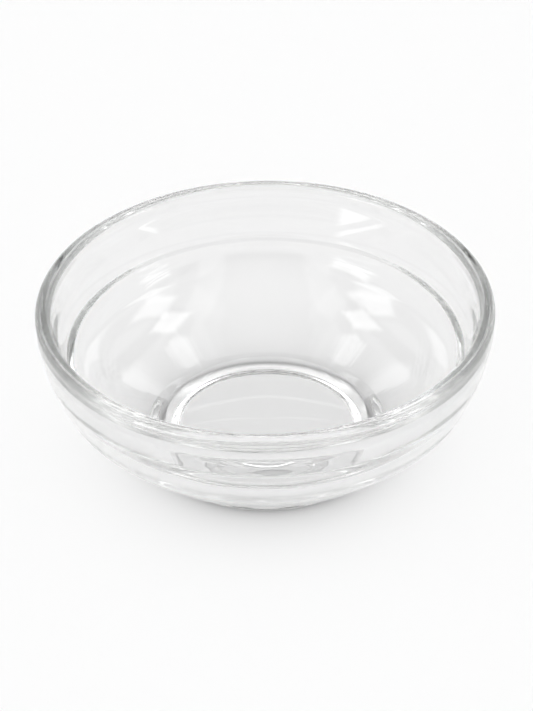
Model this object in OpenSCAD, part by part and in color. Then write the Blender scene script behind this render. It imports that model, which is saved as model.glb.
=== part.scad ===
// Stacking prep bowl of clear pressed glass, about a hand wide.
// One section is turned about Z: a foot ring, a curved wall, a band that stands up under a rounded lip, and a
// narrow ledge inside at the foot of the band.
// Millimetres. Z points up, the table is at z = 0 and the bowl's axis is X = Y = 0.

/* [Overall] */
// Diameter over the rim
rim_d = 105; // [75:0.5:150]
// Height from the table to the top of the rim
bowl_h = 39.5; // [34:0.1:60]

/* [Lip] */
// Thickness of the glass across the rounded lip
lip_t = 3.6; // [2.6:0.1:5]
// Depth of the lip's outside, down to its soft lower edge
lip_h = 5.2; // [4:0.1:8]
// Lean of the lip's outside from upright, in degrees
lip_lean = 1.6; // [0.5:0.1:5]
// Depth from the rim to where the lip's inside runs into the band
lip_drop = 3.4; // [2.8:0.1:7]

/* [Band and ledge] */
// Depth from the rim to where the outside turns in below the band
band_drop = 11.2; // [9:0.1:16]
// How far the band's outside draws in below the lip
band_draw = 1.2; // [0.4:0.1:3]
// Glass in the band beside the ledge
band_t = 5.2; // [3.2:0.1:7]
// Depth of the ledge below the rim
ledge_drop = 12.6; // [9:0.1:16]
// How far the ledge steps in
ledge_w = 1.5; // [0.8:0.1:4]
// How far the ledge falls across its width
ledge_fall = 0.25; // [0.1:0.05:2]

/* [Wall] */
// How far in from the rim the outside bends under
knee_inset = 4.9; // [2.5:0.1:9]
// Depth of that bend below the rim
knee_drop = 20.9; // [18:0.1:26]
// Radius of that bend
knee_round = 12.5; // [5:0.5:20]
// How far in from the outside bend the inside bends
basin_inset = 6.1; // [5:0.1:10]
// How far below the outside bend the inside bends
basin_low = 1.2; // [0:0.1:3]
// Radius of the inside bend
basin_round = 24.5; // [8:0.5:35]

/* [Floor and foot] */
// Diameter of the floor inside, to the corner at the foot of the wall
floor_d = 47; // [36:0.1:60]
// Width of the floor's rising edge
floor_edge_w = 3.5; // [1:0.1:6]
// How far the floor rises across that edge
floor_rise = 0.7; // [0.1:0.05:1.5]
// Thickness of the floor over the recess
floor_t = 4.2; // [3:0.1:7]
// Diameter of the foot ring's corner on the table
foot_d = 54.8; // [44:0.1:66]
// Width of the foot ring's flat on the table, corner to corner
foot_w = 4.3; // [3:0.1:7]
// Height of the foot ring's outside
foot_h = 3; // [1.5:0.1:5]
// How far the foot ring's outside leans out over that height
foot_flare = 1.8; // [0.4:0.1:3]
// Height of the recess under the floor
recess_h = 2.2; // [0.8:0.1:3.5]
// How far the recess wall leans in over that height
recess_lean = 2.2; // [0.3:0.1:3]

/* [Hidden] */
$fn = 180;
// The lip is half round, so its radius is half its thickness
lip_round = lip_t/2;
// The lip's inside stands in by this much over the glass below it
lip_overhang = 0.2;
// The floor sinks slightly to its middle
floor_dish = 0.3;
// Radii of the smaller edges
lip_edge_round = 5.5;
lip_neck_round = 3.8;
shoulder_round = 14;
ledge_corner_round = 0.3;
ledge_edge_round = 0.3;
belly_round = 30;
heel_round = 1.4;
foot_round = 1.8;
recess_foot_round = 0.7;
recess_top_round = 2;
floor_corner_round = 0.6;
floor_edge_round = 8;
// Where the outside passes between heel and bend: shares of the way across and of the way up
belly_shares = [0.43, 0.365];
// Two roundings on one side take no more than this of it
side_share = 0.98;
// A rounding's circle is this much too large, so that it crosses both sides and only grazes neither
swell_share = 0.0005;
// The corner's point of a sliver runs past the corner by this much of the sliver's length
spill_share = 0.3;

rim_r = rim_d/2;
lip_corner_r = rim_r - lip_round + lip_round*tan((90 + lip_lean)/2);
lip_edge_r = lip_corner_r - lip_h*tan(lip_lean);
lip_inner_r = rim_r - lip_t;
shoulder_r = lip_edge_r - band_draw;
ledge_z = bowl_h - ledge_drop;
ledge_r = band_out_r(ledge_z) - band_t;
knee_r = rim_r - knee_inset;
knee_z = bowl_h - knee_drop;
foot_r = foot_d/2;
heel_r = foot_r + foot_flare;
recess_foot_r = foot_r - foot_w;
floor_z = recess_h + floor_t;

// Outside radius of the band at a height: a cone from the lip's lower edge to the shoulder
function band_out_r(z) = shoulder_r + band_draw*(z - bowl_h + band_drop)/(band_drop - lip_h);

// The section's corners, [radius, height, rounding], from the middle of the underside out, up and back to the floor
corners = [
    [0, recess_h, 0],
    [recess_foot_r - recess_lean, recess_h, recess_top_round],
    [recess_foot_r, 0, recess_foot_round],
    [foot_r, 0, foot_round],
    [heel_r, foot_h, heel_round],
    [heel_r + belly_shares[0]*(knee_r - heel_r), foot_h + belly_shares[1]*(knee_z - foot_h), belly_round],
    [knee_r, knee_z, knee_round],
    [shoulder_r, bowl_h - band_drop, shoulder_round],
    [lip_edge_r, bowl_h - lip_h, lip_edge_round],
    [lip_corner_r, bowl_h, lip_round],
    [lip_inner_r, bowl_h, lip_round],
    [lip_inner_r + lip_overhang, bowl_h - lip_drop, lip_neck_round],
    [ledge_r, ledge_z, ledge_corner_round],
    [ledge_r - ledge_w, ledge_z - ledge_fall, ledge_edge_round],
    [knee_r - basin_inset, knee_z - basin_low, basin_round],
    [floor_d/2, floor_z + floor_rise, floor_corner_round],
    [floor_d/2 - floor_edge_w, floor_z, floor_edge_round],
    [0, floor_z - floor_dish, 0],
];
last_round = len(corners) - 2;

function spot(i) = [corners[i].x, corners[i].y];
function unit(v) = v/norm(v);
function side(i) = spot(i + 1) - spot(i);
function is_end(i) = i < 1 || i > last_round;

// Angle by which the outline turns at a corner: left at a raised corner, right at a hollow one
function turn(i) =
    let (a = unit(side(i - 1)), b = unit(side(i)))
    atan2(a.x*b.y - a.y*b.x, a*b);

// Distance from a corner to where its rounding would start, and what both ends of a side leave of it
function wanted(i) = is_end(i) ? 0 : corners[i].z*tan(abs(turn(i))/2);
function fit_share(i) = min(1, side_share*norm(side(i))/max(wanted(i) + wanted(i + 1), norm(side(i))*side_share));
function reach(i) = wanted(i)*min(fit_share(i - 1), fit_share(i));

// The sliver between a sharp corner and its rounding
module sliver(i) {
    back = -unit(side(i - 1));
    ahead = unit(side(i));
    t = reach(i);
    r = t/tan(abs(turn(i))/2);
    difference() {
        polygon([spot(i) - spill_share*t*unit(back + ahead), spot(i) + t*back, spot(i) + t*ahead]);
        translate(spot(i) + norm([r, t])*unit(back + ahead)) circle(r + swell_share*r);
    }
}

// Half of the bowl cut through its axis: hollow corners are filled and raised ones trimmed
module section() {
    difference() {
        union() {
            polygon([for (i = [0:len(corners) - 1]) spot(i)]);
            for (i = [1:last_round]) if (turn(i) < 0) sliver(i);
        }
        for (i = [1:last_round]) if (turn(i) > 0) sliver(i);
    }
}

// The bowl: one piece of clear tempered glass, pressed in a mould and fire polished
module bowl() {
    color([0.88, 0.93, 0.93]) rotate_extrude() section();
}

bowl();
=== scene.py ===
"""A clear pressed-glass prep bowl on a white table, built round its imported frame.
Sizes are in millimetres and MM turns them into metres."""
import math

import bpy
import numpy as np
from mathutils import Matrix, Vector


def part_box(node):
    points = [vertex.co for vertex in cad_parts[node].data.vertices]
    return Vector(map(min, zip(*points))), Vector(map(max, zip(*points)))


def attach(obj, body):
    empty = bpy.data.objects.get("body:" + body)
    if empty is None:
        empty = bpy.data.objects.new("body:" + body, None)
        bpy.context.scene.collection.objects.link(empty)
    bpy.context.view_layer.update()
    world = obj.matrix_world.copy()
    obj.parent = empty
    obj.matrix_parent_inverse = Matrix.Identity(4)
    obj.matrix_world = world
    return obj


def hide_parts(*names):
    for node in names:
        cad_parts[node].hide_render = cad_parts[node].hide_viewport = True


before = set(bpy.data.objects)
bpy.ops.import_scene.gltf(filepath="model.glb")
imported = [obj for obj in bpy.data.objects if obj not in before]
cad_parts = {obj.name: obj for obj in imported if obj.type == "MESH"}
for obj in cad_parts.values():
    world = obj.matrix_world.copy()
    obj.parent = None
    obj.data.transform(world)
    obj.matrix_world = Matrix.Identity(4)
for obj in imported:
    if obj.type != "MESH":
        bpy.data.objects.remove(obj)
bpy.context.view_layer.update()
MM = 0.001

# The bowl.
# One piece of clear soda-lime glass: a gob pressed between a mould and a plunger, fire polished and tempered.
# It stands loose on its foot ring, and the lip, band, ledge, wall, floor and foot are all one turned section.
bowl_low, bowl_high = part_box("bowl")
rim_r = (bowl_high[0] - bowl_low[0])/2/MM
bowl_h = bowl_high[2]/MM
lip_t, lip_h, lip_lean, lip_drop, lip_overhang = 3.6, 5.2, 1.6, 3.4, 0.2
band_t, band_drop, band_draw = 5.2, 11.2, 1.2
ledge_w, ledge_drop, ledge_fall = 1.5, 12.6, 0.25
knee_inset, knee_drop = 4.9, 20.9
basin_inset, basin_low = 6.1, 1.2
floor_r, floor_t, floor_dish = 47/2, 4.2, 0.3
floor_edge_w, floor_rise = 3.5, 0.7
foot_r, foot_w, foot_h, foot_flare = 54.8/2, 4.3, 3.0, 1.8
recess_h, recess_lean = 2.2, 2.2
belly_shares = (0.43, 0.365)
lip_round = lip_t/2
lip_edge_round, lip_neck_round, shoulder_round = 5.5, 3.8, 14
ledge_corner_round, ledge_edge_round = 0.3, 0.3
knee_round, belly_round, basin_round = 12.5, 30, 24.5
heel_round, foot_round = 1.4, 1.8
recess_foot_round, recess_top_round = 0.7, 2
floor_corner_round, floor_edge_round = 0.6, 8

lean = math.radians(lip_lean)
lip_corner_r = rim_r - lip_round + lip_round*math.tan((math.pi/2 + lean)/2)
lip_edge_r = lip_corner_r - lip_h*math.tan(lean)
lip_inner_r = rim_r - lip_t
shoulder_r = lip_edge_r - band_draw
ledge_r = shoulder_r + band_draw*(band_drop - ledge_drop)/(band_drop - lip_h) - band_t
ledge_z = bowl_h - ledge_drop
knee_r = rim_r - knee_inset
knee_z = bowl_h - knee_drop
heel_r = foot_r + foot_flare
belly_r = heel_r + belly_shares[0]*(knee_r - heel_r)
belly_z = foot_h + belly_shares[1]*(knee_z - foot_h)
recess_foot_r = foot_r - foot_w
floor_z = recess_h + floor_t

# Corners of the section as radius, height and rounding, from the middle of the underside round to the floor
corners = np.array([
    (0, recess_h, 0),
    (recess_foot_r - recess_lean, recess_h, recess_top_round),
    (recess_foot_r, 0, recess_foot_round),
    (foot_r, 0, foot_round),
    (heel_r, foot_h, heel_round),
    (belly_r, belly_z, belly_round),
    (knee_r, knee_z, knee_round),
    (shoulder_r, bowl_h - band_drop, shoulder_round),
    (lip_edge_r, bowl_h - lip_h, lip_edge_round),
    (lip_corner_r, bowl_h, lip_round),
    (lip_inner_r, bowl_h, lip_round),
    (lip_inner_r + lip_overhang, bowl_h - lip_drop, lip_neck_round),
    (ledge_r, ledge_z, ledge_corner_round),
    (ledge_r - ledge_w, ledge_z - ledge_fall, ledge_edge_round),
    (knee_r - basin_inset, knee_z - basin_low, basin_round),
    (floor_r, floor_z + floor_rise, floor_corner_round),
    (floor_r - floor_edge_w, floor_z, floor_edge_round),
    (0, floor_z - floor_dish, 0),
])


def rounded_section(corners, points, bend_weight):
    """Each corner becomes an arc that touches both of its sides. Two arcs take no more than side_share of the side
    between them, and are made smaller where they would. The outline is then cut into steps that are equal in length
    plus bend_weight millimetres for each radian of bend."""
    side_share, arc_points = 0.98, 65
    spot, rounding = corners[:, :2], corners[:, 2]
    side = np.diff(spot, axis=0)
    length = np.linalg.norm(side, axis=1)
    way = side/length[:, None]
    before, after = way[:-1], way[1:]
    turn = np.arctan2(before[:, 0]*after[:, 1] - before[:, 1]*after[:, 0], (before*after).sum(1))
    wanted = np.r_[0, rounding[1:-1]*np.tan(abs(turn)/2), 0]
    room = side_share*length
    share = np.minimum(1, room/np.maximum(wanted[:-1] + wanted[1:], room))
    reach = wanted[1:-1]*np.minimum(share[:-1], share[1:])
    radius = reach/np.tan(abs(turn)/2)
    inward = (after - before)/np.linalg.norm(after - before, axis=1)[:, None]
    middle = spot[1:-1] + np.hypot(radius, reach)[:, None]*inward
    spoke = spot[1:-1] - reach[:, None]*before - middle
    angle = turn[:, None]*np.linspace(0, 1, arc_points)
    out, up = spoke[:, :1], spoke[:, 1:]
    arcs = np.stack([out*np.cos(angle) - up*np.sin(angle), out*np.sin(angle) + up*np.cos(angle)], -1)
    line = np.vstack([spot[:1], (middle[:, None] + arcs).reshape(-1, 2), spot[-1:]])
    step = np.diff(line, axis=0)
    heading = np.unwrap(np.arctan2(step[:, 1], step[:, 0]))
    bend = np.r_[0, abs(np.diff(heading))]
    travel = np.r_[0, np.cumsum(np.linalg.norm(step, axis=1) + bend_weight*bend)]
    stops = np.linspace(0, travel[-1], points)
    return np.stack([np.interp(stops, travel, line[:, 0]), np.interp(stops, travel, line[:, 1])], 1)


def ripple(height, around):
    """How far the fire-polished wall waves in and out, in shares of its depth: the mean of sine waves that run round
    and up the bowl. Each has a count round the bowl, a turn in radians for each millimetre of height, and a start,
    all drawn from a seeded list."""
    waves, seed = 14, 5
    fewest, most, steepest = 3, 22, 0.35
    draw = np.random.default_rng(seed)
    counts = draw.integers(fewest, most, waves)
    rises = draw.uniform(-steepest, steepest, waves)
    starts = draw.uniform(0, 2*np.pi, waves)
    turns = counts[:, None, None]*around + rises[:, None, None]*height[:, None] + starts[:, None, None]
    return np.sin(turns).mean(0)


def turned_mesh(name, section, around, wave_depth, wave_span):
    """The section turned about Z: a point of it at radius r goes to r cos a, r sin a for `around` equal angles a. The
    ripple moves it across its surface, and fades out at both heights of wave_span, so that foot and rim stay true.
    The section's two ends lie on the axis and become single points with a fan of triangles round each."""
    ring = section[1:-1]
    heading = section[2:] - section[:-2]
    outward = np.stack([heading[:, 1], -heading[:, 0]], 1)/np.linalg.norm(heading, axis=1)[:, None]
    a = np.arange(around)*2*np.pi/around
    low, high = wave_span
    fade = np.clip((ring[:, 1] - low)*(high - ring[:, 1])/((high - low)/2)**2, 0, 1)
    wave = wave_depth*fade[:, None]*ripple(ring[:, 1], a)
    radius, z = ring[:, :1] + outward[:, :1]*wave, ring[:, 1:] + outward[:, 1:]*wave
    wall_spots = np.stack([radius*np.cos(a), radius*np.sin(a), z], -1).reshape(-1, 3)
    spots = np.vstack([wall_spots, [(0, 0, section[0, 1]), (0, 0, section[-1, 1])]])
    row, col = np.arange(len(ring) - 1)[:, None]*around, np.arange(around)
    ahead = np.roll(col, -1)
    quads = np.stack([row + col, row + ahead, row + around + ahead, row + around + col], -1).reshape(-1, 4)
    last = (len(ring) - 1)*around
    foot_fan = np.stack([np.full(around, len(spots) - 2), ahead, col], -1)
    floor_fan = np.stack([np.full(around, len(spots) - 1), last + col, last + ahead], -1)
    mesh = bpy.data.meshes.new(name)
    mesh.from_pydata((spots*MM).tolist(), [], quads.tolist() + foot_fan.tolist() + floor_fan.tolist())
    mesh.shade_smooth()
    return mesh


section_points, bend_weight, points_round = 285, 12, 340
wave_depth, wave_span = 0.08, (floor_z, ledge_z)
bowl_section = rounded_section(corners, section_points, bend_weight)
bowl_mesh = turned_mesh("bowl", bowl_section, points_round, wave_depth, wave_span)
bowl = bpy.data.objects.new("glass_bowl", bowl_mesh)
bpy.context.collection.objects.link(bowl)


def add_node(tree, kind, settings=None, *sources, **links):
    """Adds one node and gives its sockets and options the settings, where stops are a colour ramp's places and greys.
    Then links other nodes' outputs to its inputs: the sources to the first ones in order, the links by name."""
    node = tree.nodes.new("ShaderNode" + kind)
    for key, value in (settings or {}).items():
        if key == "stops":
            ramp = node.color_ramp.elements
            while len(ramp) < len(value):
                ramp.new(1)
            for stop, (place, tone) in zip(ramp, value):
                stop.position, stop.color = place, (tone, tone, tone, 1)
        elif key in node.inputs:
            node.inputs[key].default_value = value
        else:
            setattr(node, key, value)
    for socket, source in zip(node.inputs, sources):
        tree.links.new(source, socket)
    for key, source in links.items():
        tree.links.new(source, node.inputs[key.replace("_", " ")])
    return node


def colour(code):
    """An sRGB hex colour as linear red, green, blue and full alpha."""
    part = np.array([int(code[i:i + 2], 16) for i in (1, 3, 5)])/255
    return (*np.where(part <= 0.04045, part/12.92, ((part + 0.055)/1.055)**2.4), 1)


# Clear soda-lime glass, fire polished: it shows what lies behind it, bent, a little greyer at each surface.
glass = bpy.data.materials.new("clear_glass")
glass.use_nodes = True
tree = glass.node_tree
shader, surface = tree.nodes["Principled BSDF"], tree.nodes["Material Output"]
shader.inputs["Base Color"].default_value = colour("#F6F6F6")
shader.inputs["Transmission Weight"].default_value = 1
shader.inputs["Roughness"].default_value = 0
shader.inputs["IOR"].default_value = 1.52
body = add_node(tree, "VolumeAbsorption", {"Color": colour("#E6E7E6"), "Density": 10})
tree.links.new(body.outputs["Volume"], surface.inputs["Volume"])

# The mould leaves faint streaks that run up the wall, too shallow to feel. Their spacing is the one at the ledge,
# and they fade out towards the floor and the ledge.
streak_spacing, streak_length, streak_depth = 1.75, 14, 0.016
streak_fade, ledge_clear = 6, 1
streak_bounds = [(floor_r, 0), (floor_r + streak_fade, 1), (ledge_r - streak_fade, 1), (ledge_r - ledge_clear, 0)]
streak_stops = [(at/rim_r, share) for at, share in streak_bounds]
place = add_node(tree, "TexCoord")
axes = add_node(tree, "SeparateXYZ", {}, place.outputs["Object"])
flat = add_node(tree, "CombineXYZ", {}, axes.outputs["X"], axes.outputs["Y"])
radius = add_node(tree, "VectorMath", {"operation": "LENGTH"}, flat.outputs[0])
way_round = add_node(tree, "VectorMath", {"operation": "NORMALIZE"}, flat.outputs[0])
way_up = add_node(tree, "CombineXYZ", {}, Z=radius.outputs["Value"])
spread = add_node(tree, "VectorMath", {"operation": "SCALE", "Scale": ledge_r/streak_spacing}, way_round.outputs[0])
drawn = add_node(tree, "VectorMath", {"operation": "SCALE", "Scale": 1/(streak_length*MM)}, way_up.outputs[0])
laid = add_node(tree, "VectorMath", {"operation": "ADD"}, spread.outputs[0], drawn.outputs[0])
streaks = add_node(tree, "TexNoise", {"Scale": 1, "Detail": 1}, laid.outputs[0])
across = add_node(tree, "MapRange", {"From Max": rim_r*MM}, radius.outputs["Value"])
on_wall = add_node(tree, "ValToRGB", {"stops": streak_stops}, across.outputs[0])
kept_streaks = add_node(tree, "Math", {"operation": "MULTIPLY"}, streaks.outputs[0], on_wall.outputs[0])
mould_marks = add_node(tree, "Bump", {"Strength": 1, "Distance": streak_depth*MM}, Height=kept_streaks.outputs[0])
tree.links.new(mould_marks.outputs[0], shader.inputs["Normal"])

# Light goes straight through the glass onto the table, and only the outer side, close to the table, keeps some away.
# The shade's stops are shares of its height and of the light let through.
shade_h, shade_stops = 20, [(0, 0.3), (0.1, 0.6), (0.27, 0.87), (0.6, 0.98), (1, 1)]
shade_from_r, shade_edge_w = foot_r - foot_w/2, 1.3
shade_edge = {"From Min": shade_from_r*MM, "From Max": (shade_from_r + shade_edge_w)*MM}
lift = add_node(tree, "MapRange", {"From Max": shade_h*MM}, axes.outputs["Z"])
by_height = add_node(tree, "ValToRGB", {"stops": shade_stops}, lift.outputs[0])
outer_side = add_node(tree, "MapRange", shade_edge, radius.outputs["Value"])
let_through = add_node(tree, "MapRange", {"To Min": 1}, outer_side.outputs[0], To_Max=by_height.outputs[0])
lit_through = add_node(tree, "BsdfTransparent", {}, let_through.outputs[0])
path = add_node(tree, "LightPath")
from_table = add_node(tree, "Math", {"operation": "MAXIMUM"}, path.outputs["Is Shadow Ray"],
                      path.outputs["Is Diffuse Ray"])
seen = add_node(tree, "MixShader", {}, from_table.outputs[0], shader.outputs[0], lit_through.outputs[0])
tree.links.new(seen.outputs[0], surface.inputs["Surface"])
bowl_mesh.materials.append(glass)
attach(bowl, "root")
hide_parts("bowl")

# The table.
# A matt white sheet that the bowl stands on, large enough to have no edge in view.
# It lies a hair under the foot, as glass never wets the table it stands on.
table_half, air_gap = 3000, 0.02
table_spots = np.array([(-1, -1), (1, -1), (1, 1), (-1, 1)])*table_half*MM
table_mesh = bpy.data.meshes.new("table")
table_mesh.from_pydata([(x, y, -air_gap*MM) for x, y in table_spots], [], [(0, 1, 2, 3)])
table = bpy.data.objects.new("table", table_mesh)
bpy.context.collection.objects.link(table)
paper = bpy.data.materials.new("matt_white_sheet")
paper.use_nodes = True
tree = paper.node_tree
tree.nodes.clear()
matt = add_node(tree, "BsdfDiffuse", {"Color": colour("#FBFBFB")})
add_node(tree, "OutputMaterial", {}, matt.outputs[0])
table_mesh.materials.append(paper)

# The studio.
# A low white backdrop round the table, tall pale windows left and right, a dark room in front and behind, a glow high
# in front, and soft-edged light panels. The dark stretches draw the grey lines along the bends of the glass, and the
# panels draw its highlights.
room = bpy.data.worlds.new("studio")
bpy.context.scene.world = room
room.use_nodes = True
tree = room.node_tree
towards = add_node(tree, "TexCoord").outputs["Generated"]
heading = add_node(tree, "SeparateXYZ", {}, towards)

# Places along the windows are shares of the way from straight ahead to straight left or right.
dark, pale = 0.02, 0.75
window_stops = [(0, dark), (0.36, dark), (0.4, pale), (0.58, pale),
                (0.62, dark), (0.74, dark), (0.78, pale), (1, pale)]
sideways = add_node(tree, "Math", {"operation": "ABSOLUTE"}, heading.outputs["X"])
windows = add_node(tree, "ValToRGB", {"stops": window_stops}, sideways.outputs[0])
backdrop_top, backdrop_end, backdrop_tone = 0.12, 0.16, 0.95
backdrop_fade = {"interpolation_type": "SMOOTHSTEP", "From Min": backdrop_top, "From Max": backdrop_end,
                 "To Min": backdrop_tone, "To Max": 0}
backdrop = add_node(tree, "MapRange", backdrop_fade, heading.outputs["Z"])
walls = add_node(tree, "Math", {"operation": "MAXIMUM"}, windows.outputs["Color"], backdrop.outputs[0])
glow_way, glow_end, glow_tone = Vector((0, -0.5, 0.87)), 0.7, 0.8
glow_fade = {"interpolation_type": "SMOOTHSTEP", "From Min": glow_end, "From Max": 1, "To Max": glow_tone}
to_glow = add_node(tree, "VectorMath", {"operation": "DOT_PRODUCT"}, towards)
to_glow.inputs[1].default_value = glow_way
glow = add_node(tree, "MapRange", glow_fade, to_glow.outputs["Value"])
light = add_node(tree, "Math", {"operation": "ADD"}, walls.outputs[0], glow.outputs[0])


def soft_panel(tree, towards, azimuth, elevation, width, height, brightness):
    """The light of one panel far off in the room: full in its middle, fading smoothly from full_share to end_share of
    its half width or half height, whichever is passed first. Its direction and its size, as the bowl sees it, are in
    degrees: azimuth 0 is behind the bowl and 90 to its right. A brightness of 1 is that of a white wall. The last
    factor keeps the panel off the far side of the room, where the same offsets come round again."""
    full_share, end_share = 0.7, 1.25
    turned, raised = math.radians(azimuth), math.radians(elevation)
    way = Vector((math.sin(turned)*math.cos(raised), math.cos(turned)*math.cos(raised), math.sin(raised)))
    halves = (math.sin(math.radians(width)/2), math.sin(math.radians(height)/2), 1)
    facing = {"vector_type": "TEXTURE", "Rotation": way.to_track_quat("Z", "Y").to_euler(), "Scale": halves}
    fade = {"interpolation_type": "SMOOTHSTEP", "From Min": full_share, "From Max": end_share,
            "To Min": brightness, "To Max": 0}
    faced = add_node(tree, "Mapping", facing, towards)
    offset = add_node(tree, "SeparateXYZ", {}, faced.outputs[0])
    sidelong = add_node(tree, "Math", {"operation": "ABSOLUTE"}, offset.outputs["X"])
    upright = add_node(tree, "Math", {"operation": "ABSOLUTE"}, offset.outputs["Y"])
    passed = add_node(tree, "Math", {"operation": "MAXIMUM"}, sidelong.outputs[0], upright.outputs[0])
    lit = add_node(tree, "MapRange", fade, passed.outputs[0])
    ahead = add_node(tree, "Math", {"operation": "GREATER_THAN"}, offset.outputs["Z"])
    return add_node(tree, "Math", {"operation": "MULTIPLY"}, lit.outputs[0], ahead.outputs[0])


# One panel high behind, one low in front on the left, one low on the right, and two on each side
panel_bright = 3.4
panels = [(0, 55, 56, 20, panel_bright), (-128, 11, 24, 16, panel_bright), (114, 7, 16, 13, panel_bright)]
for hand in (-1, 1):
    panels += [(hand*88, 51, 18, 15, panel_bright), (hand*33, 35, 24, 18, panel_bright/2)]
for panel in panels:
    lit_panel = soft_panel(tree, towards, *panel)
    light = add_node(tree, "Math", {"operation": "ADD"}, light.outputs[0], lit_panel.outputs[0])
tree.links.new(light.outputs[0], tree.nodes["Background"].inputs["Color"])

# The camera.
# It looks down on the bowl from the front, thirteen rim radii away. The picture shows a rim radius as rim_px pixels,
# and has the point on the bowl's axis that lies centre_drop below the rim at middle_px.
photo_w, photo_h, sensor = 533, 711, 36
look_down, roll = math.radians(35.88), math.radians(-0.73)
rim_radii_away = 13
rim_px, middle_px, centre_drop = 226.58, (265.68, 365.29), 18.1
rim = rim_r*MM
back = Vector((0, -math.cos(look_down), math.sin(look_down)))
up = Vector((0, math.sin(look_down), math.cos(look_down)))
right = Vector((1, 0, 0))
centre = Vector((0, 0, (bowl_h - centre_drop)*MM))
eye = centre + rim_radii_away*rim*back
aim = centre + rim/rim_px*(up*(middle_px[1] - photo_h/2) + right*(photo_w/2 - middle_px[0]))
lens = bpy.data.cameras.new("camera")
lens.sensor_width = sensor
lens.lens = sensor*rim_px*rim_radii_away/photo_h
lens.clip_start, lens.clip_end = 0.01, 50
camera = bpy.data.objects.new("camera", lens)
bpy.context.collection.objects.link(camera)
turned = (eye - aim).to_track_quat("Z", "Y").to_matrix().to_4x4() @ Matrix.Rotation(roll, 4, "Z")
camera.matrix_world = Matrix.Translation(eye) @ turned
bpy.context.scene.camera = camera
bpy.context.scene.view_settings.view_transform = "Standard"

# Light crosses many glass surfaces before it leaves a bowl.
glass_bounces = 64
cycles = bpy.context.scene.cycles
cycles.max_bounces = cycles.transmission_bounces = cycles.glossy_bounces = glass_bounces
cycles.caustics_refractive = cycles.caustics_reflective = True
cycles.blur_glossy = 0
